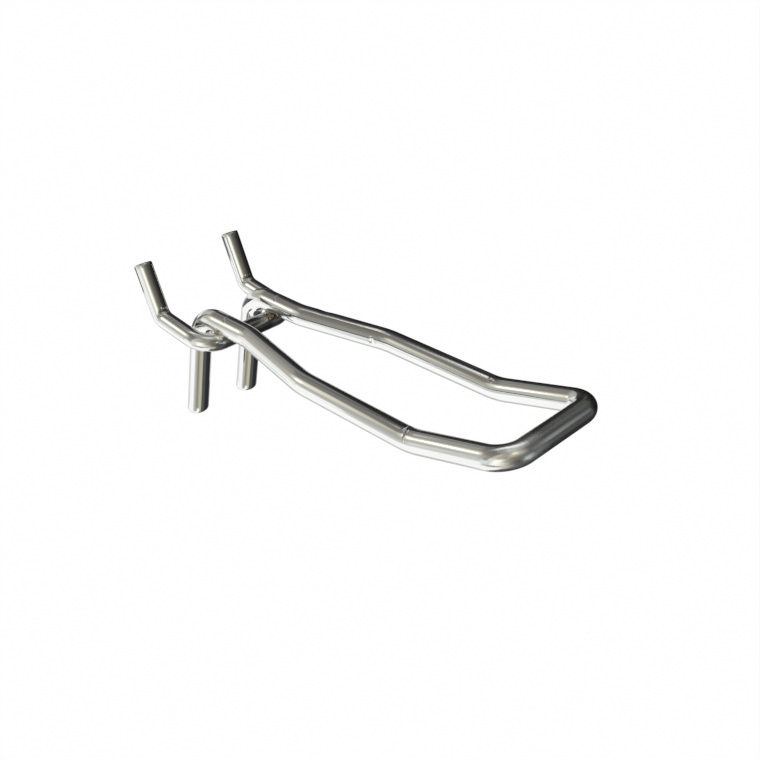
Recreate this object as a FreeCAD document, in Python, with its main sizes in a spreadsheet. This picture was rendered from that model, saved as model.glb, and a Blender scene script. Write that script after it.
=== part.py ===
# Loop hook for a pegboard: two bent steel wires welded together where they cross, in millimetres
# Frame: the board's front face is Y = 0, the pegs run back along +Y at Z = 0, the loop reaches out along -Y

import FreeCAD
import Part
import math
import os

Vector = FreeCAD.Vector

doc = FreeCAD.newDocument("pegboard_hook")

# Driving sizes; angles in degrees, bend radii measured to the wire's axis
SIZES = [
    # wire stock: six gauge for the loop, eight gauge for the pegs
    ("loop_wire_dia", 4.88),
    ("peg_wire_dia", 4.11),
    # board that the hook is made for
    ("peg_pitch", 25.4),
    ("board_thickness", 3.2),
    ("board_clearance", 1.95),
    # peg wire
    ("crossbar_setout", 9.65),
    ("upright_angle", 34.0),
    ("upright_length", 13.0),
    ("elbow_radius", 3.0),
    ("shoulder_radius", 5.0),
    ("peg_end_chamfer", 0.35),
    # legs of the loop wire
    ("leg_spacing", 15.2),
    ("foot_drop", 24.2),
    ("foot_round", 0.9),
    ("heel_radius", 6.0),
    # arms of the loop wire, places measured along the arm from the leg's axis
    ("arm_angle", 7.3),
    ("flare_start", 15.5),
    ("flare_end", 37.2),
    ("arm_spacing", 25.8),
    ("neck_radius", 14.0),
    ("flare_radius", 18.0),
    # raised front of the loop
    ("tip_start", 66.6),
    ("tip_length", 22.7),
    ("tip_angle", 15.6),
    ("tip_radius", 16.0),
    ("front_spacing", 27.4),
    ("corner_radius", 4.8),
    # welds: how far the wires sink into one another, and the flash squeezed out round each
    ("weld_sink", 0.5),
    ("flash_overhang", 0.25),
    ("flash_thickness", 0.9),
]

sheet = doc.addObject("Spreadsheet::Sheet", "sizes")
for row, (name, value) in enumerate(SIZES, start=1):
    sheet.set(f"A{row}", name)
    sheet.set(f"B{row}", str(value))
    sheet.setAlias(f"B{row}", name)
doc.recompute()


def size(name):
    return float(sheet.get(name))


loop_radius = size("loop_wire_dia") / 2
peg_radius = size("peg_wire_dia") / 2
rise = math.radians(size("arm_angle"))
tip_slope = rise + math.radians(size("tip_angle"))
lean = math.radians(size("upright_angle"))

along_arm = Vector(0, -math.cos(rise), math.sin(rise))
above_arm = Vector(0, math.sin(rise), math.cos(rise))
along_tip = Vector(0, -math.cos(tip_slope), math.sin(tip_slope))
along_upright = Vector(0, math.sin(lean), math.cos(lean))

# The arms lie on the crossbar, sunk into it at the welds, and the legs' backs touch the board
weld_distance = loop_radius + peg_radius - size("weld_sink")
crossbar = Vector(0, -size("crossbar_setout"), 0)
arm_over_crossbar = crossbar + above_arm * weld_distance
heel_to_crossbar = (-loop_radius - arm_over_crossbar.y) / math.cos(rise)
heel = arm_over_crossbar - along_arm * heel_to_crossbar
elbow = Vector(0, size("board_thickness") + size("board_clearance"), 0)


def across(point, spacing, side):
    return point + Vector(side * spacing / 2, 0, 0)


def loop_corners(side):
    # corners of the loop wire's axis on one side, from the foot to the front bar
    straight = size("tip_start") - size("flare_end")
    share = straight / (straight + size("tip_length"))
    tip_spacing = size("arm_spacing") + share * (size("front_spacing") - size("arm_spacing"))
    tip_base = heel + along_arm * size("tip_start")
    return [
        across(Vector(0, heel.y, -size("foot_drop")), size("leg_spacing"), side),
        across(heel, size("leg_spacing"), side),
        across(heel + along_arm * size("flare_start"), size("leg_spacing"), side),
        across(heel + along_arm * size("flare_end"), size("arm_spacing"), side),
        across(tip_base, tip_spacing, side),
        across(tip_base + along_tip * size("tip_length"), size("front_spacing"), side),
    ]


def peg_corners(side):
    # corners of the peg wire's axis on one side, from the peg's end to the crossbar
    return [
        across(elbow + along_upright * size("upright_length"), size("peg_pitch"), side),
        across(elbow, size("peg_pitch"), side),
        across(crossbar, size("peg_pitch"), side),
    ]


def bent_axis(corners, radii):
    # straight lines between the corners, with a round bend at each corner
    edges = []
    start = corners[0]
    for before, corner, after, radius in zip(corners, corners[1:], corners[2:], radii):
        incoming = (corner - before).normalize()
        outgoing = (after - corner).normalize()
        turn = incoming.getAngle(outgoing)
        setback = radius * math.tan(turn / 2)
        bend_start = corner - incoming * setback
        bend_end = corner + outgoing * setback
        inward = (outgoing - incoming).normalize()
        bend_middle = corner + inward * radius * (1 / math.cos(turn / 2) - 1)
        edges.append(Part.makeLine(start, bend_start))
        edges.append(Part.Arc(bend_start, bend_middle, bend_end).toShape())
        start = bend_end
    edges.append(Part.makeLine(start, corners[-1]))
    return Part.Wire(edges)


def bent_wire(name, diameter, corners, radii):
    # round wire swept along its bent axis
    axis = doc.addObject("Part::Feature", f"{name}_axis")
    axis.Shape = bent_axis(corners, radii)
    section = doc.addObject("Part::Circle", f"{name}_section")
    section.setExpression("Radius", f"sizes.{diameter} / 2")
    turn = FreeCAD.Rotation(Vector(0, 0, 1), corners[1] - corners[0])
    section.Placement = FreeCAD.Placement(corners[0], turn)
    sweep = doc.addObject("Part::Sweep", f"{name}_sweep")
    sweep.Sections = [section]
    sweep.Spine = (axis, [f"Edge{number}" for number in range(1, len(axis.Shape.Edges) + 1)])
    sweep.Solid = True
    doc.recompute()
    return sweep


def rims(shape, ends):
    # numbers of the round edges that stand at the wire's two ends
    found = []
    for number, edge in enumerate(shape.Edges, start=1):
        if edge.Curve.TypeId != "Part::GeomCircle":
            continue
        if min(edge.Curve.Center.distanceToPoint(end) for end in ends) < 0.01:
            found.append(number)
    return found


# Peg wire, with chamfered peg ends
peg_points = peg_corners(-1) + peg_corners(1)[::-1]
peg_radii = [size("elbow_radius"), size("shoulder_radius")]
peg_sweep = bent_wire("peg", "peg_wire_dia", peg_points, peg_radii + peg_radii[::-1])
peg_wire = doc.addObject("Part::Chamfer", "peg_wire")
peg_wire.Base = peg_sweep
end_rims = rims(peg_sweep.Shape, (peg_points[0], peg_points[-1]))
peg_wire.Edges = [(rim, size("peg_end_chamfer"), size("peg_end_chamfer")) for rim in end_rims]
peg_wire.Label = "peg_wire"

# Loop wire, with rounded feet
loop_points = loop_corners(-1) + loop_corners(1)[::-1]
loop_radii = [size(name) for name in ("heel_radius", "neck_radius", "flare_radius", "tip_radius", "corner_radius")]
loop_sweep = bent_wire("loop", "loop_wire_dia", loop_points, loop_radii + loop_radii[::-1])
rounded_loop = doc.addObject("Part::Fillet", "rounded_loop")
rounded_loop.Base = loop_sweep
foot_rims = rims(loop_sweep.Shape, (loop_points[0], loop_points[-1]))
rounded_loop.Edges = [(rim, size("foot_round"), size("foot_round")) for rim in foot_rims]

# Weld flash: a flat collar squeezed out between each arm and the crossbar
flash_base = crossbar + above_arm * (peg_radius - (size("weld_sink") + size("flash_thickness")) / 2)
collars = []
for side, name in ((-1, "left_flash"), (1, "right_flash")):
    collar = doc.addObject("Part::Cylinder", name)
    half_contact = "sqrt(sizes.weld_sink * (sizes.loop_wire_dia - sizes.weld_sink))"
    collar.setExpression("Radius", f"{half_contact} + sizes.flash_overhang")
    collar.setExpression("Height", "sizes.flash_thickness")
    collar.Placement = FreeCAD.Placement(
        across(flash_base, size("leg_spacing"), side),
        FreeCAD.Rotation(Vector(0, 0, 1), above_arm),
    )
    collars.append(collar)
flashed_loop = doc.addObject("Part::MultiFuse", "flashed_loop")
flashed_loop.Shapes = [rounded_loop] + collars

# The crossbar presses a seat into each arm, so the two wires meet face to face
loop_wire = doc.addObject("Part::Cut", "loop_wire")
loop_wire.Base = flashed_loop
loop_wire.Tool = peg_wire
loop_wire.Label = "loop_wire"

doc.recompute()

for item in doc.Objects:
    if "Invalid" in item.State or "Error" in item.State:
        raise RuntimeError(f"{item.Name} did not build: {item.State}")

os.makedirs("parts", exist_ok=True)
for wire in (loop_wire, peg_wire):
    if wire.Shape.isNull() or not wire.Shape.isValid():
        raise RuntimeError(f"{wire.Label} has no valid shape")
    wire.Shape.exportStep(f"parts/{wire.Label}.step")
    print(wire.Label, len(wire.Shape.Solids), "solid", round(wire.Shape.Volume, 1), "mm3", wire.Shape.BoundBox)
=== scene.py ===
"""Loop hook for a pegboard, dressed as bright plated wire: two bent wires, welded where they cross."""

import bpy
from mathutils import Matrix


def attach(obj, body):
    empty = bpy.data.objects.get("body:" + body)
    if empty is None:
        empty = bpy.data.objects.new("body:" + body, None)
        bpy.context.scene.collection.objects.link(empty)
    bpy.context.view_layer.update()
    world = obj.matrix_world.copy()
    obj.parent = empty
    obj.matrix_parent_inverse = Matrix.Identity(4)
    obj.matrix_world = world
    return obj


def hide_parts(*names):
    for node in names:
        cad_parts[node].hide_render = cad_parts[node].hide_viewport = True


bl_info = {
    "name": "Pegboard loop hook",
    "version": (1, 0, 0),
    "blender": (4, 5, 0),
    "location": "View3D > Sidebar > Loop hook",
    "description": "Bends and plates the two wires of a pegboard loop hook and sets its stage",
    "category": "Object",
}

from math import cos, exp, pi, radians, sin, tan

import bmesh
import bpy
from mathutils import Matrix, Vector, noise

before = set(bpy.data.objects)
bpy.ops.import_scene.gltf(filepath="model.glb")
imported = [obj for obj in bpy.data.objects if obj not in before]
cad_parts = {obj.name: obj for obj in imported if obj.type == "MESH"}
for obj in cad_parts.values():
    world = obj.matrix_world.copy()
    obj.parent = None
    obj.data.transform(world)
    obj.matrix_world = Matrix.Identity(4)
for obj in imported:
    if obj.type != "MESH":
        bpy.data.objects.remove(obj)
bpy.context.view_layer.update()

# What the meshes tell their shaders: where a point lay before the wire was bent, how much painted shade
# darkens a tool mark's groove, how burnt the weld metal is, and where between the two tones of a card it
# lies
STRAIGHT = "straight_wire"
GROOVE_SHADE = "painted_groove_shade"
BURNT = "burnt"
RAMP = "ramp"


# Sizes and colours

def length(name, description, millimetres):
    return bpy.props.FloatProperty(
        name=name, description=description, default=millimetres / 1000,
        subtype="DISTANCE", unit="LENGTH", precision=5,
    )


def angle(name, description, degrees):
    return bpy.props.FloatProperty(
        name=name, description=description, default=radians(degrees), subtype="ANGLE", unit="ROTATION"
    )


def colour(name, description, default):
    return bpy.props.FloatVectorProperty(
        name=name, description=description, default=default, subtype="COLOR", size=3, min=0, max=4
    )


def share(name, description, default):
    return bpy.props.FloatProperty(
        name=name, description=description, default=default, subtype="FACTOR", min=0, max=1
    )


class LoopWireSizes(bpy.types.PropertyGroup):
    """Sizes of the wire that makes the legs, the arms and the raised front"""

    diameter: length("Wire diameter", "Six gauge wire", 4.88)
    sides: bpy.props.IntProperty(name="Sides", description="Faces round the wire", default=80, min=16)
    leg_spacing: length("Leg spacing", "Between the axes of the legs", 15.2)
    foot_drop: length("Foot drop", "From the pegs' height down to the feet", 24.2)
    foot_round: length("Foot rounding", "Radius on the rim of each foot", 0.9)
    heel_radius: length("Heel radius", "Bend between leg and arm, to the axis", 6.0)
    arm_angle: angle("Arm angle", "Climb of the arms", 7.3)
    flare_start: length("Flare start", "Along the arm from the leg's axis", 15.5)
    flare_end: length("Flare end", "Along the arm from the leg's axis", 37.2)
    arm_spacing: length("Arm spacing", "Between the axes of the arms past the flare", 25.8)
    neck_radius: length("Neck radius", "Bend into the flare", 14.0)
    flare_radius: length("Flare radius", "Bend out of the flare", 18.0)
    tip_start: length("Tip start", "Along the arm from the leg's axis", 66.6)
    tip_length: length("Tip length", "Along the raised front", 22.7)
    tip_angle: angle("Tip angle", "How far the front turns up from the arms", 15.6)
    tip_radius: length("Tip radius", "Bend up into the front", 16.0)
    front_spacing: length("Front spacing", "Between the axes at the front corners", 27.4)
    corner_radius: length("Corner radius", "Bend at each front corner", 4.8)
    seat_depth: length("Seat depth", "How far the crossbar is pressed into each arm", 0.5)


class PegWireSizes(bpy.types.PropertyGroup):
    """Sizes of the wire that makes the crossbar and the two pegs"""

    diameter: length("Wire diameter", "Eight gauge wire", 4.11)
    sides: bpy.props.IntProperty(name="Sides", description="Faces round the wire", default=64, min=16)
    pitch: length("Peg pitch", "Between the pegs, one hole of the board to the next", 25.4)
    setout: length("Crossbar setout", "From the board's face out to the crossbar's axis", 9.65)
    reach: length("Peg reach", "From the board's face back to the elbow", 5.15)
    upright_angle: angle("Upright angle", "Lean of the uprights behind the board", 34.0)
    upright_length: length("Upright length", "From the elbow to the cut end", 12.88)
    elbow_radius: length("Elbow radius", "Bend behind the board, to the axis", 3.0)
    shoulder_radius: length("Shoulder radius", "Bend from crossbar to peg, to the axis", 5.0)
    end_chamfer: length("End chamfer", "Broken edge of the cut ends", 0.35)


class PlatingLook(bpy.types.PropertyGroup):
    """Finish of the wires and of the welds"""

    bright: colour("Plating", "Bright plating", (0.96, 0.965, 0.955))
    dull: colour("Dull plating", "Thinner plating in the drawn lines", (0.84, 0.84, 0.83))
    # Painted shade: this grey darkens the crossbar between the arms, and the plating there is no thinner
    thin: colour(
        "Thin plating", "Grey where the plating bath hardly reaches between the arms", (0.28, 0.285, 0.28)
    )
    cut: colour("Cut ends", "Sheared steel under thin plating", (0.30, 0.30, 0.29))
    heat: colour("Heat tint", "Straw brown round the welds", (0.42, 0.335, 0.215))
    # The weld scale's colour is also used as painted shade in the grooves of the tool marks
    scale: colour("Weld scale", "Dark scale in the welds", (0.13, 0.105, 0.08))
    wear: share("Wear", "How dull the drawn lines are", 0.5)
    heat_tint: share("Heat", "How strong the heat tint is", 0.4)
    # Painted shade: how dark the grooves of the tool marks are painted
    groove_shade: share("Marks", "How dark the tool marks are", 0.9)
    # How strong the painted shade on the crossbar between the arms is
    shade_between_arms: share("Shielding", "How grey the shielded stretch of the crossbar is", 0.85)
    gloss: share("Roughness", "Roughness of the plain plating", 0.09)
    line_rough: share("Line roughness", "How far roughness varies between the drawn lines", 0.03)
    cloud_rough: share("Clouding", "How far roughness varies from place to place", 0.08)
    cut_rough: share("Cut roughness", "Added at the cut ends", 0.10)
    scuff_rough: share("Scuff roughness", "Added where goods scrape", 0.16)
    rub_rough: share("Rubbed roughness", "Added where goods hang", 0.09)
    rub_cloud: share("Rubbed clouding", "How much more roughness varies where goods hang", 0.15)


class StageLook(bpy.types.PropertyGroup):
    """Floor, cards and lamp round the hook"""

    floor_colour: colour("Floor", "Pale floor", (0.92, 0.92, 0.92))
    floor_depth: length("Floor depth", "How far the floor lies below the pegs", 800.0)
    floor_radius: length("Floor radius", "How far the floor reaches", 12000.0)
    lamp_colour: colour("Lamp", "Warm soft lamp", (1.0, 0.97, 0.86))
    lamp_size: length("Lamp size", "Across the lamp", 50.0)
    diffuser_radius: length("Diffuser radius", "Round cloth just behind the lamp", 85.0)
    lens: bpy.props.FloatProperty(name="Lens", description="Focal length in millimetres", default=52.91)


class HookSettings(bpy.types.PropertyGroup):
    """Everything about the hook that a user would change"""

    loop: bpy.props.PointerProperty(type=LoopWireSizes)
    pegs: bpy.props.PointerProperty(type=PegWireSizes)
    plating: bpy.props.PointerProperty(type=PlatingLook)
    stage: bpy.props.PointerProperty(type=StageLook)


# Bending wire

# Points closer than this are one point
SAME_POINT = 1e-7

# The cut faces are the only ones with more corners than this. Each is hollow inside a rim: the rim's width
# as a share of the wire's radius, and the hollow's depth.
MOST_CORNERS = 8
CUT_RIM = 0.3
CUT_HOLLOW = 0.00005

# A tool mark ends this many half widths and half lengths from its middle, and these shares of the wire's
# radius below and above it. Its lips stand this many half widths from the groove and are this wide.
MARK_REACH = 3.2
MARK_RUNOUT = 1.6
MARK_BELOW = 0.7
MARK_ABOVE = 0.4
LIP_ASIDE = 1.7
LIP_WIDTH = 0.6


def bell(distance):
    """Height of a bell curve, one in its middle"""
    return exp(-distance ** 2)


class Wire:
    """Round wire that is fed straight and bent round, ring by ring, from one cut end to the other"""

    def __init__(self, diameter, sides, start, heading):
        self.mesh = bmesh.new()
        self.radius = diameter / 2
        self.straight = self.mesh.verts.layers.float_vector.new(STRAIGHT)
        self.pressed = self.mesh.verts.layers.float.new(GROOVE_SHADE)
        self.at = start.copy()
        self.heading = heading.normalized()
        self.fed = 0.0
        self.runs = []
        place = Matrix.Translation(start) @ self.heading.to_track_quat("Z", "X").to_matrix().to_4x4()
        bmesh.ops.create_circle(self.mesh, cap_ends=True, radius=self.radius, segments=sides, matrix=place)
        self.verts = list(self.mesh.verts)
        self.edges = list(self.mesh.edges)
        back = place.inverted()
        for vert in self.verts:
            vert[self.straight] = back @ vert.co
        self.first_rim = list(self.edges)

    def feed(self, distance, gap):
        """Pushes the wire straight on; the run is cut into rings once the whole wire is bent"""
        behind = set(self.verts)
        made = bmesh.ops.extrude_edge_only(self.mesh, edges=self.edges)["geom"]
        self.verts = [item for item in made if isinstance(item, bmesh.types.BMVert)]
        self.edges = [item for item in made if isinstance(item, bmesh.types.BMEdge)]
        bmesh.ops.translate(self.mesh, verts=self.verts, vec=self.heading * distance)
        self.at += self.heading * distance
        self.fed += distance
        for vert in self.verts:
            vert[self.straight].z = self.fed
        run = [edge for vert in self.verts for edge in vert.link_edges if edge.other_vert(vert) in behind]
        self.runs.append((run, round(distance / gap) - 1))

    def bend(self, heading, radius, gap):
        """Turns the wire round to a new heading"""
        turn = self.heading.angle(heading)
        axis = self.heading.cross(heading).normalized()
        centre = self.at + axis.cross(self.heading) * radius
        steps = max(2, round(radius * turn / gap))
        sides = len(self.verts)
        before = len(self.mesh.verts)
        made = bmesh.ops.spin(
            self.mesh, geom=self.verts + self.edges, cent=centre, axis=axis, angle=turn, steps=steps
        )["geom_last"]
        self.mesh.verts.ensure_lookup_table()
        for count, vert in enumerate(self.mesh.verts[before:]):
            vert[self.straight].z = self.fed + radius * turn * (count // sides + 1) / steps
        self.verts = [item for item in made if isinstance(item, bmesh.types.BMVert)]
        self.edges = [item for item in made if isinstance(item, bmesh.types.BMEdge)]
        self.fed += radius * turn
        self.at = centre + Matrix.Rotation(turn, 3, axis) @ (self.at - centre)
        self.heading = heading.normalized()

    def follow(self, corners, radii, gaps, end_run):
        """Feeds and bends along a route of corners, with one plain ring at each end for the rims. The gaps
        between rings are given for each run and bend in turn, finer where a mark is pressed in later."""
        gaps = iter(gaps)
        self.feed(end_run, end_run)
        for corner, following, radius in zip(corners[1:-1], corners[2:], radii):
            leaving = (following - corner).normalized()
            setback = radius * tan(self.heading.angle(leaving) / 2)
            self.feed((corner - self.at).length - setback, next(gaps))
            self.bend(leaving, radius, next(gaps))
        self.feed((corners[-1] - self.at).length - end_run, next(gaps))
        self.feed(end_run, end_run)
        self.last_rim = list(self.edges)
        bmesh.ops.contextual_create(self.mesh, geom=self.edges)
        for run, cuts in self.runs:
            if cuts > 0:
                bmesh.ops.subdivide_edges(self.mesh, edges=run, cuts=cuts)

    def shear_end(self, rim, direction, slope, trim):
        """Cuts a foot off the square, as a wire cutter does: the cut rises by slope along direction"""
        verts = {vert for edge in rim for vert in edge.verts}
        middle = sum((vert.co for vert in verts), Vector()) / len(verts)
        for vert in verts:
            vert.co.z += trim + slope * (vert.co - middle).dot(direction)

    def round_rims(self, offset, segments):
        """Breaks the edges of both cut ends and hollows the ends a little"""
        bmesh.ops.bevel(
            self.mesh, geom=self.first_rim + self.last_rim, offset=offset, offset_type="OFFSET",
            segments=segments, profile=0.5, affect="EDGES", material=-1, clamp_overlap=True,
        )
        self.caps = [face for face in self.mesh.faces if len(face.verts) > MOST_CORNERS]
        bmesh.ops.inset_individual(
            self.mesh, faces=self.caps, thickness=self.radius * CUT_RIM, depth=-CUT_HOLLOW
        )

    def press(self, at, outward, along, depth, half_width, half_length, lip):
        """Presses one tool mark into the wire: a short groove, with a little metal raised on both sides.
        Where the mark has lips, its groove is kept for painted shade
        """
        outward = outward.normalized()
        along = along.normalized()
        across = outward.cross(along)
        for vert in self.mesh.verts:
            offset = vert.co - at
            aside = offset.dot(along) / half_width
            down = offset.dot(across) / half_length
            if abs(aside) > MARK_REACH or abs(down) > MARK_RUNOUT:
                continue
            if not -self.radius * MARK_BELOW < offset.dot(outward) < self.radius * MARK_ABOVE:
                continue
            fade = max(0.0, 1 - (down / MARK_RUNOUT) ** 2) ** 2
            groove = bell(aside)
            ridge = lip * bell((abs(aside) - LIP_ASIDE) / LIP_WIDTH)
            vert.co -= outward * depth * fade * (groove - ridge)
            # A mark with lips gets painted shade in its groove
            if lip:
                vert[self.pressed] = max(vert[self.pressed], fade * groove)

    def finish(self, name, material):
        bmesh.ops.remove_doubles(self.mesh, verts=self.mesh.verts, dist=SAME_POINT)
        bmesh.ops.recalc_face_normals(self.mesh, faces=self.mesh.faces)
        for face in self.mesh.faces:
            face.smooth = face not in self.caps
        return add_piece(name, self.mesh, material)


def add_piece(name, mesh, material):
    data = bpy.data.meshes.new(name)
    mesh.to_mesh(data)
    mesh.free()
    data.materials.append(material)
    piece = bpy.data.objects.new(name, data)
    bpy.context.collection.objects.link(piece)
    return piece


def loop_route(sizes):
    """Corners of the loop wire from the left foot round to the right foot, on its axis"""
    radius = sizes.diameter / 2
    pegs = bpy.context.scene.loop_hook.pegs
    climb = Vector((0, -cos(sizes.arm_angle), sin(sizes.arm_angle)))
    front_angle = sizes.arm_angle + sizes.tip_angle
    front = Vector((0, -cos(front_angle), sin(front_angle)))
    above = Vector((0, sin(sizes.arm_angle), cos(sizes.arm_angle)))
    bar_to_arm = radius + pegs.diameter / 2 - sizes.seat_depth
    over_bar = Vector((0, -pegs.setout, 0)) + above * bar_to_arm
    heel = over_bar + climb * ((-radius - over_bar.y) / climb.y)
    tip = heel + climb * sizes.tip_start
    nose = tip + front * sizes.tip_length
    past_flare = sizes.tip_start - sizes.flare_end
    widening = (sizes.front_spacing - sizes.arm_spacing) / (past_flare + sizes.tip_length)
    half = [
        (sizes.leg_spacing, Vector((0, -radius, -sizes.foot_drop))),
        (sizes.leg_spacing, heel),
        (sizes.leg_spacing, heel + climb * sizes.flare_start),
        (sizes.arm_spacing, heel + climb * sizes.flare_end),
        (sizes.arm_spacing + widening * past_flare, tip),
        (sizes.front_spacing, nose),
    ]
    left = [Vector((-spacing / 2, place.y, place.z)) for spacing, place in half]
    right = [Vector((-corner.x, corner.y, corner.z)) for corner in reversed(left)]
    radii = [sizes.heel_radius, sizes.neck_radius, sizes.flare_radius, sizes.tip_radius, sizes.corner_radius]
    return left + right, radii + radii[::-1]


def peg_route(sizes):
    """Corners of the peg wire from the left upright's end round to the right one, on its axis"""
    lean = Vector((0, sin(sizes.upright_angle), cos(sizes.upright_angle)))
    half = [
        Vector((0, sizes.reach, 0)) + lean * sizes.upright_length,
        Vector((0, sizes.reach, 0)),
        Vector((0, -sizes.setout, 0)),
    ]
    left = [Vector((-sizes.pitch / 2, place.y, place.z)) for place in half]
    right = [Vector((-corner.x, corner.y, corner.z)) for corner in reversed(left)]
    radii = [sizes.elbow_radius, sizes.shoulder_radius]
    return left + right, radii + radii[::-1]


# Shaders

class Value:
    """One socket of a shader, for sums written as Python"""

    def __init__(self, shader, socket):
        self.shader = shader
        self.socket = socket

    def sum(self, operation, *others):
        return self.shader.node("Math", {"operation": operation}, *others)

    def __add__(self, other):
        return self.sum("ADD", self, other)

    def __radd__(self, other):
        return self.sum("ADD", other, self)

    def __sub__(self, other):
        return self.sum("SUBTRACT", self, other)

    def __rsub__(self, other):
        return self.sum("SUBTRACT", other, self)

    def __mul__(self, other):
        return self.sum("MULTIPLY", self, other)

    def clamped(self):
        return self.shader.node("Clamp", {}, self)

    def between(self, low, high):
        return self.shader.node("MapRange", {"interpolation_type": "SMOOTHSTEP"}, self, low, high, 0.0, 1.0)


class Shader:
    """A node tree that is written as Python"""

    def __init__(self, owner):
        owner.use_nodes = True
        self.tree = owner.node_tree
        self.tree.nodes.clear()

    def node(self, kind, settings, *inputs, out=0, **named):
        """Adds a node: its settings first, then the values or links of its sockets in order or by name"""
        made = self.tree.nodes.new("ShaderNode" + kind)
        for key, value in settings.items():
            setattr(made, key, value)
        open_sockets = [socket for socket in made.inputs if socket.enabled]
        pairs = list(zip(open_sockets, inputs))
        pairs += [(made.inputs[key.replace("_", " ")], value) for key, value in named.items()]
        for socket, value in pairs:
            if isinstance(value, Value):
                self.tree.links.new(value.socket, socket)
            elif value is not None:
                socket.default_value = value
        if isinstance(out, str):
            return Value(self, made.outputs[out])
        shown = [socket for socket in made.outputs if socket.enabled]
        return Value(self, shown[out]) if shown else None

    def mix(self, factor, first, second):
        return self.node("Mix", {"data_type": "RGBA"}, factor, first, second)

    def noise(self, place, scale, detail=2.0, rough=0.5):
        return self.node("TexNoise", {}, place, Scale=scale, Detail=detail, Roughness=rough)

    def stretched_noise(self, place, stretch, detail=2.0, rough=0.5):
        """Noise that changes at another pace, per metre, on each axis"""
        return self.noise(self.node("Mapping", {}, place, Scale=stretch), 1.0, detail, rough)

    def distance(self, place, point):
        return self.node("VectorMath", {"operation": "DISTANCE"}, place, tuple(point), out="Value")

    def metal(self, colour_value, rough, normal):
        """Ends the tree in a metal surface"""
        self.surface(
            self.node(
                "BsdfPrincipled", {}, Base_Color=colour_value, Metallic=1.0, Roughness=rough, Normal=normal
            )
        )

    def surface(self, shader):
        self.node("OutputMaterial", {}, shader)


def rgba(colour_value):
    return (*colour_value, 1.0)


def weld_places():
    """The two places where the arms cross the crossbar"""
    loop = bpy.context.scene.loop_hook.loop
    pegs = bpy.context.scene.loop_hook.pegs
    above = Vector((0, sin(loop.arm_angle), cos(loop.arm_angle)))
    middle = Vector((0, -pegs.setout, 0)) + above * (pegs.diameter / 2 - loop.seat_depth / 2)
    return [Vector((side * loop.leg_spacing / 2, middle.y, middle.z)) for side in (-1, 1)]


# The corner of the front that goods scrape over most, and how far the scuffs reach from it
SCUFF = (-0.0098, -0.0912, 0.0212)
SCUFF_REACH = (0.002, 0.0065)
SCUFF_FRAY = 0.004

# How far heat tints the wire round a weld, from full tint to none, and how ragged that edge is
HEAT_REACH = (0.0016, 0.0030)
HEAT_FRAY = 0.0018

# A rubbed stretch, or the stretch of painted shade between the arms, fades out from this share of its half
# length on, with this ragged an edge
RUBBED_FULL = 0.75
RUBBED_FRAY = 0.008
SHADE_FULL = 0.8
SHADE_FRAY = 0.001

# The skin at both ends of the wire that counts as cut: none and full, as distances from the end
CUT_SKIN = (0.00006, 0.00002)


def plated_wire(name, look, middle, rubbed_length, shaded_length=None):
    """Bright plating over drawn wire: long drawing lines, faint waves, straw heat tint at the welds, and the
    middle of the wire rubbed softer by what hangs on it, or grey painted shade on the crossbar between the
    arms"""
    material = bpy.data.materials.new(name)
    shader = Shader(material)
    straight = shader.node("Attribute", {"attribute_name": STRAIGHT}, out="Vector")
    # Where the grooves of the tool marks get painted shade
    pressed = shader.node("Attribute", {"attribute_name": GROOVE_SHADE}, out="Fac")
    place = shader.node("TexCoord", {}, out="Object")
    lines = shader.stretched_noise(straight, (5200, 5200, 55), 3.0, 0.62)
    broad_lines = shader.stretched_noise(straight, (1500, 1500, 24))
    waves = shader.stretched_noise(straight, (420, 420, 170))
    rubs = shader.stretched_noise(straight, (700, 700, 260), 4.0, 0.7) - 0.5
    clouds = shader.stretched_noise(straight, (230, 230, 90), 3.0, 0.6) - 0.5
    grain = shader.stretched_noise(place, (2600, 900, 900), 3.0, 0.6)
    along = shader.node("SeparateXYZ", {}, straight, out="Z")
    from_middle = shader.node("Math", {"operation": "ABSOLUTE"}, along - middle)

    from_rub = from_middle + clouds * RUBBED_FRAY
    rubbed = 1.0 - from_rub.between(rubbed_length * RUBBED_FULL, rubbed_length)
    from_welds = [shader.distance(place, weld) + rubs * HEAT_FRAY for weld in weld_places()]
    left_heat, right_heat = (1.0 - away.between(*HEAT_REACH) for away in from_welds)
    heat = (left_heat + right_heat).clamped()
    from_scuff = shader.distance(place, SCUFF) + rubs * SCUFF_FRAY
    scuffed = 1.0 - from_scuff.between(*SCUFF_REACH)
    cut = from_middle.between(*(middle - depth for depth in CUT_SKIN))
    worn = (lines * 0.6 + broad_lines * 0.5).between(0.42, 0.72)

    metal = shader.mix(worn * look.wear, rgba(look.bright), rgba(look.dull))
    metal = shader.mix(heat * look.heat_tint, metal, rgba(look.heat))
    # Painted shade in the grooves of the tool marks, in the weld scale's colour
    metal = shader.mix(pressed * look.groove_shade, metal, rgba(look.scale))
    # Painted shade: the crossbar between the arms is darkened towards the grey
    if shaded_length:
        from_shade = from_middle + clouds * SHADE_FRAY
        shaded = 1.0 - from_shade.between(shaded_length * SHADE_FULL, shaded_length)
        metal = shader.mix(shaded * look.shade_between_arms, metal, rgba(look.thin))
    metal = shader.mix(cut * (0.5 + grain * 0.5), metal, rgba(look.cut))
    rough = cut * look.cut_rough + scuffed * look.scuff_rough + look.gloss
    rough = rough + (worn - 0.5) * look.line_rough + clouds * look.cloud_rough
    rough = rough + rubbed * (look.rub_rough + clouds * look.rub_cloud)
    height = lines * 0.35 + broad_lines * 0.5 + waves * 1.6 + cut * grain * 2.0
    bump = shader.node("Bump", {}, Strength=0.05, Distance=0.0001, Height=height)
    shader.metal(metal, rough, bump)
    return material


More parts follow.
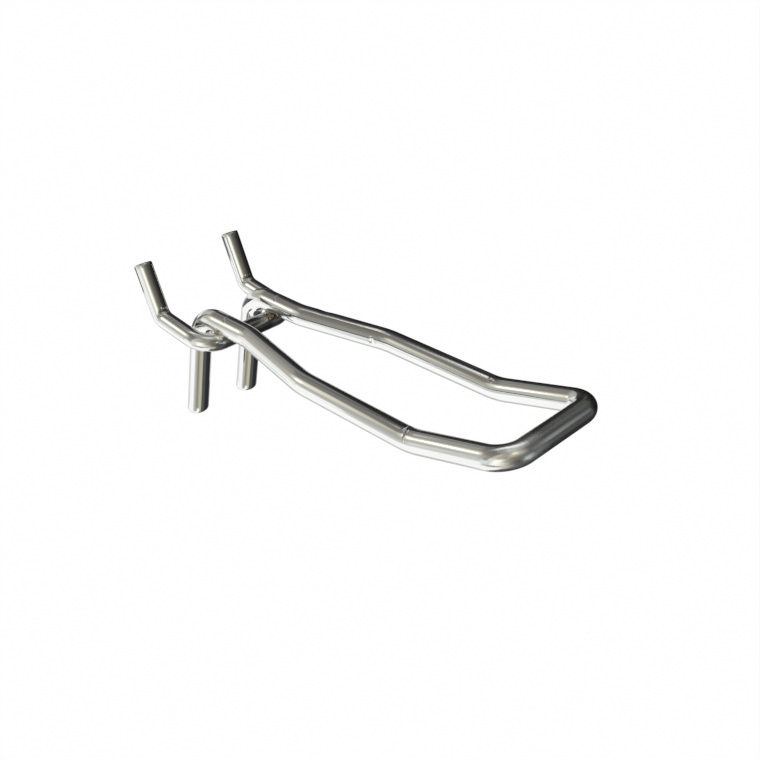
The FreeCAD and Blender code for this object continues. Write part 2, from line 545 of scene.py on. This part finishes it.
def weld_metal(name, look):
    """Squeezed-out weld metal under thin plating: lumpy, straw to dark brown"""
    material = bpy.data.materials.new(name)
    shader = Shader(material)
    place = shader.node("TexCoord", {}, out="Object")
    lumps = shader.noise(place, 900.0, 3.0, 0.6)
    grains = shader.noise(place, 4200.0, 2.0, 0.6)
    burnt = shader.node("Attribute", {"attribute_name": BURNT}, out="Fac")
    metal = shader.mix(lumps.between(0.34, 0.58), rgba(look.scale), rgba(look.heat))
    metal = shader.mix((burnt + lumps - 0.5).clamped(), rgba(look.bright), metal)
    bump = shader.node("Bump", {}, Strength=0.5, Distance=0.0002, Height=lumps + grains * 0.3)
    shader.metal(metal, 0.2 + grains * 0.2, bump)
    return material


# Pieces

def both_halves(half, middle):
    """A row for the whole wire, from the row for one half and the value of its middle run"""
    return (*half, middle, *reversed(half))


# Gaps between rings in metres, for each run and bend from an end to the middle of the wire, then for the
# middle run, and the length of the plain ring at each end
LOOP_RING_GAPS = both_halves(
    (0.0006, 0.00025, 0.00012, 0.00025, 0.00025, 0.00016, 0.0004, 0.00012, 0.0004, 0.00025), 0.0004
)
LOOP_END_RING = 0.003
PEG_RING_GAPS = both_halves((0.0004, 0.00012, 0.0004, 0.0002), 0.0004)
PEG_END_RING = 0.0012

# The way the cutter went through the feet, and the slope and shortening of the left and the right foot
CUTTER_WAY = (0.6, -0.8, 0)
FOOT_SHEARS = ((0.18, 0.00060), (0.17, 0.00042))

# Facets across a rounded foot and across a chamfered end
FOOT_FACETS = 6
CHAMFER_FACETS = 3

# Half lengths of the stretches that are rubbed by use, and of the crossbar's stretch of painted shade
# between the arms
LOOP_RUBBED = 0.024
CROSSBAR_RUBBED = 0.016
CROSSBAR_SHADED = 0.0062

# Tool marks in millimetres: where, which way is out of the wire, which way crosses the groove, then depth,
# half width, half length and how much of the depth is raised as a lip on both sides
LOOP_MARKS = [
    ((-7.9, -10.8, 6.65), (-0.12, 0.13, 0.98), (0.12, -0.98, 0.14), 0.14, 0.17, 1.1, 0.25),
    ((7.1, -10.8, 6.6), (-0.2, 0.12, 0.97), (0.12, -0.98, 0.14), 0.14, 0.17, 1.1, 0.25),
    ((10.2, -23.2, 8.0), (0.45, 0.15, 0.88), (0.22, -0.96, 0.12), 0.10, 1.5, 1.8, 0.0),
    ((10.0, -37.3, 7.6), (-0.96, -0.24, 0.05), (0.22, -0.96, 0.12), 0.18, 0.3, 0.9, 0.0),
    ((-13.6, -67.4, 13.8), (-0.1, 0.2, 0.97), (0.22, -0.95, 0.22), 0.30, 0.16, 1.7, 0.35),
    ((-13.5, -67.1, 13.9), (-0.1, 0.2, 0.97), (-0.25, -0.94, 0.22), 0.16, 0.14, 0.9, 0.3),
    ((12.05, -67.2, 13.6), (-0.5, 0.16, 0.84), (0.0, -0.98, 0.18), 0.42, 0.26, 0.30, 0.25),
]
PEG_MARKS = [
    ((-12.9, 4.5, 2.3), (-0.3, -0.45, 0.84), (0, -0.88, -0.47), 0.18, 0.30, 1.2, 0.4),
    ((12.5, 4.5, 2.3), (-0.3, -0.45, 0.84), (0, -0.88, -0.47), 0.18, 0.30, 1.2, 0.4),
]


def press_marks(wire, marks):
    """Marks that the maker's tools left: electrodes over the welds, bending dies at the bends"""
    for at, outward, along, *sizes, lip in marks:
        depth, half_width, half_length = (size / 1000 for size in sizes)
        wire.press(Vector(at) / 1000, Vector(outward), Vector(along), depth, half_width, half_length, lip)


# Beads of weld metal in millimetres: the left weld (0) or the right one (1), the bead's place from there,
# its half sizes, and how burnt it is
WELD_BEADS = (
    (0, (0, 0, 0), (1.9, 1.75, 0.5), 0.35),
    (0, (-1.4, -1.3, 0), (0.6, 0.55, 0.5), 0.0),
    (1, (0, 0, 0), (1.9, 1.75, 0.5), 0.8),
    (1, (-2.0, -1.5, -0.1), (0.9, 0.8, 0.75), 1.0),
)

# Lumps on the beads: their pace per metre, and their height as a share of the bead
WELD_LUMPS = ((900, 0.12), (2100, 0.07))


class HOOK_OT_loop_wire(bpy.types.Operator):
    """Bend the loop wire: legs, arms and raised front"""

    bl_idname = "loop_hook.loop_wire"
    bl_label = "Loop wire"

    def execute(self, context):
        settings = context.scene.loop_hook
        sizes = settings.loop
        corners, radii = loop_route(sizes)
        wire = Wire(sizes.diameter, sizes.sides, corners[0], corners[1] - corners[0])
        wire.follow(corners, radii, LOOP_RING_GAPS, LOOP_END_RING)
        for rim, (slope, trim) in zip((wire.first_rim, wire.last_rim), FOOT_SHEARS):
            wire.shear_end(rim, Vector(CUTTER_WAY), slope, trim)
        wire.round_rims(sizes.foot_round, FOOT_FACETS)
        press_marks(wire, LOOP_MARKS)
        plating = plated_wire("loop_wire_plating", settings.plating, wire.fed / 2, LOOP_RUBBED)
        piece = wire.finish("loop_wire_bent", plating)
        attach(piece, "root")
        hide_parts("loop_wire")
        return {"FINISHED"}


class HOOK_OT_peg_wire(bpy.types.Operator):
    """Bend the peg wire: crossbar, two pegs and their uprights"""

    bl_idname = "loop_hook.peg_wire"
    bl_label = "Peg wire"

    def execute(self, context):
        settings = context.scene.loop_hook
        sizes = settings.pegs
        corners, radii = peg_route(sizes)
        wire = Wire(sizes.diameter, sizes.sides, corners[0], corners[1] - corners[0])
        wire.follow(corners, radii, PEG_RING_GAPS, PEG_END_RING)
        wire.round_rims(sizes.end_chamfer, CHAMFER_FACETS)
        press_marks(wire, PEG_MARKS)
        plating = plated_wire(
            "peg_wire_plating", settings.plating, wire.fed / 2, CROSSBAR_RUBBED, CROSSBAR_SHADED
        )
        piece = wire.finish("peg_wire_bent", plating)
        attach(piece, "root")
        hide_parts("peg_wire")
        return {"FINISHED"}


class HOOK_OT_weld_flash(bpy.types.Operator):
    """Squeeze out the metal round the two welds"""

    bl_idname = "loop_hook.weld_flash"
    bl_label = "Weld flash"

    def execute(self, context):
        settings = context.scene.loop_hook
        mesh = bmesh.new()
        burnt = mesh.verts.layers.float.new(BURNT)
        tilt = Matrix.Rotation(-settings.loop.arm_angle, 4, "X")
        welds = weld_places()
        for weld, offset, half, tone in WELD_BEADS:
            place = welds[weld] + Vector(offset) / 1000
            squeeze = Matrix.Translation(place) @ tilt @ Matrix.Diagonal((*(Vector(half) / 1000), 1))
            bead = bmesh.ops.create_icosphere(mesh, subdivisions=4, radius=1.0, matrix=squeeze)
            for vert in bead["verts"]:
                lump = sum(height * noise.noise(vert.co * pace) for pace, height in WELD_LUMPS)
                vert.co += (vert.co - place) * lump
                vert[burnt] = tone
        for face in mesh.faces:
            face.smooth = True
        piece = add_piece("weld_flash", mesh, weld_metal("weld_flash_metal", settings.plating))
        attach(piece, "root")
        return {"FINISHED"}


# Stage

# The lamp's place and strength, and the cloth just behind it: how far off as a share of the lamp's distance,
# its strength in the middle, and the tone at its rim
LAMP_PLACE = (-0.158, 0.161, 0.106)
LAMP_STRENGTH = 0.95
DIFFUSER_SETBACK = 1.01
DIFFUSER_STRENGTH = 1.05
DIFFUSER_RIM = (0.43, 0.425, 0.375)

# How much of the floor's own white shows where it is seen directly or mirrored
FLOOR_GLOW = 0.94

# The camera: its place and the nearest it sees in metres, its turn in degrees, its sensor in millimetres
CAMERA_PLACE = (-0.14858, -0.16210, 0.13965)
CAMERA_TURN = (54.565, -7.314, -47.500)
SENSOR_WIDTH = 36
NEAREST_SEEN = 0.01

# Degrees from one facet of a bent card to the next
CARD_STEP = 4

# Cards round the hook, as the plating mirrors them: how far off in metres, bearings from and to, heights
# from and to, whether the tone changes "along" the bearing or "up" the card, and the tone at its start and
# end. Bearings turn from the front (0) to the right (90); heights are above the horizon; both in degrees.
CARDS = {
    "left_wall": (1.5, -184, -137, -34, -1, "up", (0.98, 1.0, 0.99), (0.82, 0.82, 0.79)),
    "left_wall_mid": (1.5, -137, -127, -34, -1, "up", (0.96, 0.99, 0.98), (0.60, 0.60, 0.56)),
    "left_wall_dim": (1.5, -127, -115, -34, -1, "up", (0.76, 0.80, 0.79), (0.44, 0.445, 0.42)),
    "left_wall_near": (1.5, -115, -96, -34, -1, "up", (0.84, 0.88, 0.87), (0.64, 0.65, 0.63)),
    "left_halo": (1.5, -176, -112, -1, 32, "up", (0.50, 0.49, 0.44), (0.30, 0.29, 0.25)),
    "left_halo_edge": (1.5, -112, -96, -1, 32, "up", (0.30, 0.30, 0.28), (0.26, 0.255, 0.225)),
    "left_top": (1.5, -176, -96, 32, 62, "up", (0.23, 0.22, 0.19), (0.135, 0.13, 0.115)),
    "front_left_low": (0.5, -100, -60, -45, -27, "along", (0.66, 0.67, 0.66), (0.23, 0.22, 0.17)),
    "front_middle_low": (0.5, -60, -31, -41, -27, "along", (0.23, 0.22, 0.165), (0.56, 0.53, 0.41)),
    "front_right_low": (0.5, -31, -12, -56, -22, "along", (0.56, 0.53, 0.41), (0.42, 0.41, 0.33)),
    "front_left_gap": (1.5, -96, -86, -30, 24, "along", (0.80, 0.81, 0.79), (0.64, 0.64, 0.60)),
    "front_rise": (1.5, -86, -74, -30, 21, "along", (0.64, 0.64, 0.60), (1.08, 1.07, 0.99)),
    "front_fall": (1.5, -60, -48, -30, 24, "along", (1.06, 1.05, 0.97), (0.38, 0.36, 0.31)),
    "front_shade": (1.5, -48, -30, -30, 60, "along", (0.38, 0.36, 0.31), (0.185, 0.172, 0.145)),
    "front_dusk": (1.5, -30, 26, -30, 60, "along", (0.18, 0.165, 0.135), (0.045, 0.045, 0.04)),
    "front_dark": (1.4, -16, 10, -30, -2, "along", (0.09, 0.085, 0.075), (0.04, 0.04, 0.038)),
    "front_left_top": (1.5, -96, -48, 21, 60, "along", (0.62, 0.57, 0.48), (0.26, 0.24, 0.195)),
    "right_low_grey": (0.5, -12, 25, -56, -22, "along", (0.10, 0.105, 0.10), (0.07, 0.078, 0.078)),
    "right_low_black": (0.5, 25, 84, -56, -14, "along", (0.030, 0.032, 0.031), (0.022, 0.022, 0.022)),
    "right_low_edge": (0.5, 84, 114, -56, -16, "along", (0.02, 0.02, 0.02), (0.36, 0.38, 0.37)),
    "right_black": (1.5, 26, 60, -30, 12, "along", (0.085, 0.087, 0.083), (0.06, 0.061, 0.058)),
    "right_charcoal": (1.5, 26, 124, 27, 46, "along", (0.065, 0.065, 0.063), (0.078, 0.078, 0.076)),
    "right_top": (1.5, 26, 72, 46, 62, "along", (0.05, 0.052, 0.052), (0.05, 0.052, 0.052)),
    "front_glint": (0.2, 8, 20, -8, 11, "up", (0.46, 0.50, 0.52), (0.40, 0.44, 0.46)),
    "left_near_white": (0.136, -121, -104, -24, -5, "up", (0.97, 1.0, 0.99), (0.93, 0.96, 0.95)),
    "front_panel": (1.5, -74, -60, -30, 21, "along", (1.08, 1.07, 0.99), (1.06, 1.05, 0.97)),
    "right_deep_black": (1.5, 60, 124, -30, 12, "along", (0.012, 0.012, 0.011), (0.006, 0.006, 0.006)),
    "right_shadow": (1.5, 26, 112, 12, 27, "along", (0.03, 0.03, 0.028), (0.012, 0.012, 0.012)),
    "right_grey": (1.5, 112, 126, 12, 27, "along", (0.06, 0.06, 0.058), (0.07, 0.07, 0.068)),
    "back_pale": (1.5, 150, 186, -22, -3, "along", (0.80, 0.84, 0.83), (0.92, 0.95, 0.94)),
    "back_low": (0.5, 114, 184, -56, -19, "along", (0.36, 0.38, 0.37), (0.60, 0.62, 0.61)),
    "back_left_line": (0.45, 158, 206, -39, -31, "along", (0.62, 0.63, 0.62), (0.74, 0.75, 0.74)),
    "back_black": (1.5, 124, 150, -22, 46, "along", (0.012, 0.012, 0.012), (0.048, 0.048, 0.048)),
    "back_middle": (1.5, 150, 186, -3, 28, "along", (0.34, 0.35, 0.335), (0.56, 0.56, 0.51)),
    "back_band": (1.5, 150, 186, 28, 36, "along", (0.14, 0.14, 0.136), (0.34, 0.335, 0.30)),
    "back_top": (1.5, 150, 186, 36, 50.5, "along", (0.07, 0.07, 0.07), (0.20, 0.195, 0.185)),
    "back_line": (1.5, 166, 198, 50.5, 55.5, "along", (0.46, 0.46, 0.45), (0.52, 0.51, 0.49)),
    "front_fall_low": (1.45, -60, -30, -30, -2, "along", (1.02, 1.01, 0.94), (0.36, 0.34, 0.29)),
    "right_top_line": (1.5, 72, 95, 46, 62, "along", (0.26, 0.275, 0.28), (0.26, 0.275, 0.28)),
    "right_top_dark": (1.5, 95, 130, 46, 57, "along", (0.03, 0.03, 0.03), (0.03, 0.03, 0.03)),
    "right_top_back": (1.5, 130, 150, 46, 62, "along", (0.22, 0.235, 0.24), (0.34, 0.36, 0.365)),
}

# Small flat cards standing a few centimetres off the hook, in millimetres: one lower corner, the lower edge
# from there, the height at both ends, and the tone at both ends. A card is seen from its front only, which
# is on the right when looking along its lower edge.
SMALL_CARDS = {
    "right_streak": (
        (58, -113, 35.4), (-18.8, -25.9, 0), 26, 26,
        (0.03, 0.031, 0.033), (0.36, 0.375, 0.39),
    ),
    "prong_line": ((-39, 55, -30), (51, 0, 0), 20, 20, (0.05, 0.05, 0.05), (0.20, 0.20, 0.20)),
    "corner_white": ((5.8, -47.7, 64), (25.7, -30.6, 0), 55, 55, (1.20, 1.21, 1.18), (1.05, 1.06, 1.03)),
    "corner_gold": (
        (-14.7, -104, 42.8), (-6.5, 2.6, 0), 17.7, 17.7,
        (1.80, 1.66, 1.28), (1.60, 1.46, 1.12),
    ),
    "corner_glow": ((-1.3, -109.2, 35.3), (-28.2, 5, 0), 27, 27, (0.46, 0.44, 0.37), (0.52, 0.48, 0.39)),
    "corner_dark": ((-9.3, -136.5, 2.8), (-17.2, 2.1, 0), 24, 24, (0.02, 0.02, 0.02), (0.04, 0.04, 0.04)),
    "corner_blue": (
        (7.3, -132.8, 11.6), (-12.1, -3.5, 0), 16, 16,
        (0.86, 0.98, 1.00), (0.94, 1.06, 1.08),
    ),
    "back_upper": ((25, 110, 66), (0, -105, -22), 64, 45, (0.27, 0.27, 0.27), (0.16, 0.16, 0.16)),
}

# Flat cards over and under the hook, as parts of a ring: height in metres, bearings from and to, inner and
# outer radius in metres, and the tone at the inner and the outer edge
LYING_CARDS = {
    "front_floor_patch": (-0.74, -30, 102, 0.06, 0.50, (0.10, 0.10, 0.10), (0.05, 0.05, 0.05)),
    "zenith": (2.7, -180, 180, 0.02, 0.52, (0.74, 0.73, 0.69), (0.62, 0.61, 0.58)),
    "back_floor_patch": (-0.74, 100, 192, 0.13, 0.62, (0.55, 0.56, 0.555), (0.60, 0.61, 0.60)),
    "overhead": (2.75, -180, 180, 0.05, 1.62, (0.34, 0.345, 0.34), (0.28, 0.275, 0.26)),
}


def glowing(name, first, second, one_sided=False):
    """Plain light from one tone to the other; behind a one-sided card it can be looked through"""
    material = bpy.data.materials.new(name)
    shader = Shader(material)
    ramp = shader.node("Attribute", {"attribute_name": RAMP}, out="Fac")
    glow = shader.node("Emission", {}, shader.mix(ramp, rgba(first), rgba(second)), 1.0)
    if one_sided:
        behind = shader.node("NewGeometry", {}, out="Backfacing")
        glow = shader.node("MixShader", {}, behind, glow, shader.node("BsdfTransparent", {}))
    shader.surface(glow)
    return material


def blank_card():
    mesh = bmesh.new()
    return mesh, mesh.verts.layers.float.new(RAMP)


def bearing(degrees):
    """The level direction at a bearing"""
    return Vector((sin(radians(degrees)), -cos(radians(degrees)), 0))


def upward(distance):
    return Vector((0, 0, distance))


def flat_card(name, corner, along, height, end_height, first, second):
    """A small flat card, mirrored by the plating in front of it only"""
    mesh, ramp = blank_card()
    foot = Vector(corner) / 1000
    lower = mesh.verts.new(foot)
    upper = mesh.verts.new(foot + upward(height / 1000))
    edge = mesh.edges.new((lower, upper))
    made = bmesh.ops.extrude_edge_only(mesh, edges=[edge])["geom"]
    far = [item for item in made if isinstance(item, bmesh.types.BMVert)]
    for vert in far:
        vert[ramp] = 1.0
        vert.co.z = foot.z + (end_height / 1000 if vert.co.z > foot.z else 0)
    bmesh.ops.translate(mesh, verts=far, vec=Vector(along) / 1000)
    mirrored_only(add_piece(name, mesh, glowing(name, first, second, one_sided=True)))


def standing_card(name, distance, start, end, low, high, way, first, second):
    """A card bent round the hook like a piece of a drum, mirrored by the plating only"""
    mesh, ramp = blank_card()
    foot = bearing(start) * distance
    bottom, top = (distance * tan(radians(height)) for height in (low, high))
    lower = mesh.verts.new(foot + upward(bottom))
    upper = mesh.verts.new(foot + upward(top))
    edge = mesh.edges.new((lower, upper))
    sweep = radians(end - start)
    bmesh.ops.spin(
        mesh, geom=[lower, upper, edge], cent=(0, 0, 0), axis=(0, 0, 1), angle=sweep,
        steps=max(2, int((end - start) / CARD_STEP)),
    )
    for vert in mesh.verts:
        turned = foot.xy.angle(vert.co.xy, 0.0)
        vert[ramp] = turned / sweep if way == "along" else float(vert.co.z > (bottom + top) / 2)
    mirrored_only(add_piece(name, mesh, glowing(name, first, second)))


def lying_card(name, height, start, end, inner, outer, first, second):
    """A flat card over or under the hook, part of a ring, mirrored by the plating only"""
    mesh, ramp = blank_card()
    near = mesh.verts.new(bearing(start) * inner + upward(height))
    far = mesh.verts.new(bearing(start) * outer + upward(height))
    far[ramp] = 1.0
    edge = mesh.edges.new((near, far))
    bmesh.ops.spin(
        mesh, geom=[near, far, edge], cent=(0, 0, 0), axis=(0, 0, 1), angle=radians(end - start),
        steps=int((end - start) / CARD_STEP), use_merge=end - start == 360,
    )
    mirrored_only(add_piece(name, mesh, glowing(name, first, second)))


def lamp_front(look):
    """The round cloth that spreads the lamp's light, bright in the middle and fading outwards"""
    mesh, ramp = blank_card()
    middle = Vector(LAMP_PLACE) * DIFFUSER_SETBACK
    turn = middle.to_track_quat("Z", "Y").to_matrix().to_4x4()
    bmesh.ops.create_circle(
        mesh, cap_ends=True, cap_tris=True, radius=look.diffuser_radius, segments=48,
        matrix=Matrix.Translation(middle) @ turn,
    )
    for vert in mesh.verts:
        vert[ramp] = min(1.0, (vert.co - middle).length / look.diffuser_radius)
    bright = tuple(DIFFUSER_STRENGTH * part for part in look.lamp_colour)
    mirrored_only(add_piece("lamp_front", mesh, glowing("lamp_front", bright, DIFFUSER_RIM)))


def mirrored_only(card):
    """Shows a card to mirror rays alone, so that it lights nothing and stays out of the picture"""
    card.visible_camera = False
    card.visible_diffuse = False
    card.visible_shadow = False


class HOOK_OT_stage(bpy.types.Operator):
    """Lay the pale floor, stand the cards and the lamp, and place the camera"""

    bl_idname = "loop_hook.stage"
    bl_label = "Stage"

    def execute(self, context):
        scene = context.scene
        look = scene.loop_hook.stage
        self.lay_floor(look)
        for name, card in CARDS.items():
            standing_card(name, *card)
        for name, card in SMALL_CARDS.items():
            flat_card(name, *card)
        for name, card in LYING_CARDS.items():
            lying_card(name, *card)
        lamp_front(look)
        self.hang_lamp(look)
        self.light_room(scene)
        self.place_camera(scene, look)
        scene.view_settings.view_transform = "Standard"
        return {"FINISHED"}

    def lay_floor(self, look):
        mesh = bmesh.new()
        bmesh.ops.create_circle(
            mesh, cap_ends=True, radius=look.floor_radius, segments=96,
            matrix=Matrix.Translation(upward(-look.floor_depth)),
        )
        material = bpy.data.materials.new("pale_floor")
        shader = Shader(material)
        seen = self.seen_directly(shader)
        matt = shader.node("BsdfDiffuse", {}, rgba(look.floor_colour))
        white = shader.node("Emission", {}, (1, 1, 1, 1), 1.0)
        shader.surface(shader.node("MixShader", {}, seen * FLOOR_GLOW, matt, white))
        add_piece("floor", mesh, material)

    def seen_directly(self, shader):
        """One where the camera sees the floor, straight, mirrored or through something"""
        camera = shader.node("LightPath", {}, out="Is Camera Ray")
        rays = camera.socket.node.outputs
        mirrored = Value(shader, rays["Is Glossy Ray"])
        through = Value(shader, rays["Is Transmission Ray"])
        return (camera + mirrored + through).clamped()

    def hang_lamp(self, look):
        lamp = bpy.data.lights.new("soft_lamp", "AREA")
        lamp.shape = "DISK"
        lamp.size = look.lamp_size
        lamp.color = look.lamp_colour
        lamp.energy = LAMP_STRENGTH * pi * (pi * lamp.size ** 2 / 4)
        holder = bpy.data.objects.new("soft_lamp", lamp)
        holder.location = LAMP_PLACE
        holder.rotation_euler = Vector(holder.location).to_track_quat("Z", "Y").to_euler()
        bpy.context.collection.objects.link(holder)

    def light_room(self, scene):
        world = bpy.data.worlds.new("white_room")
        scene.world = world
        shader = Shader(world)
        room = shader.node("Background", {}, (1, 1, 1, 1), 1.0)
        shader.node("OutputWorld", {}, room)

    def place_camera(self, scene, look):
        camera = bpy.data.cameras.new("camera")
        camera.sensor_width = SENSOR_WIDTH
        camera.lens = look.lens
        camera.clip_start = NEAREST_SEEN
        holder = bpy.data.objects.new("camera", camera)
        holder.location = CAMERA_PLACE
        holder.rotation_euler = [radians(turn) for turn in CAMERA_TURN]
        bpy.context.collection.objects.link(holder)
        scene.camera = holder


class HOOK_PT_panel(bpy.types.Panel):
    """Sizes and steps of the hook"""

    bl_idname = "HOOK_PT_panel"
    bl_label = "Loop hook"
    bl_space_type = "VIEW_3D"
    bl_region_type = "UI"
    bl_category = "Loop hook"

    def draw(self, context):
        settings = context.scene.loop_hook
        for group in (settings.loop, settings.pegs, settings.plating, settings.stage):
            box = self.layout.box()
            for key in group.__annotations__:
                box.prop(group, key)
        for step in STEPS:
            self.layout.operator(step.bl_idname)


STEPS = (HOOK_OT_loop_wire, HOOK_OT_peg_wire, HOOK_OT_weld_flash, HOOK_OT_stage)
CLASSES = (LoopWireSizes, PegWireSizes, PlatingLook, StageLook, HookSettings, *STEPS, HOOK_PT_panel)


def register():
    for item in CLASSES:
        bpy.utils.register_class(item)
    bpy.types.Scene.loop_hook = bpy.props.PointerProperty(type=HookSettings)


def unregister():
    del bpy.types.Scene.loop_hook
    for item in reversed(CLASSES):
        bpy.utils.unregister_class(item)


def main():
    register()
    bpy.ops.loop_hook.loop_wire()
    bpy.ops.loop_hook.peg_wire()
    bpy.ops.loop_hook.weld_flash()
    bpy.ops.loop_hook.stage()


if __name__ == "__main__":
    main()
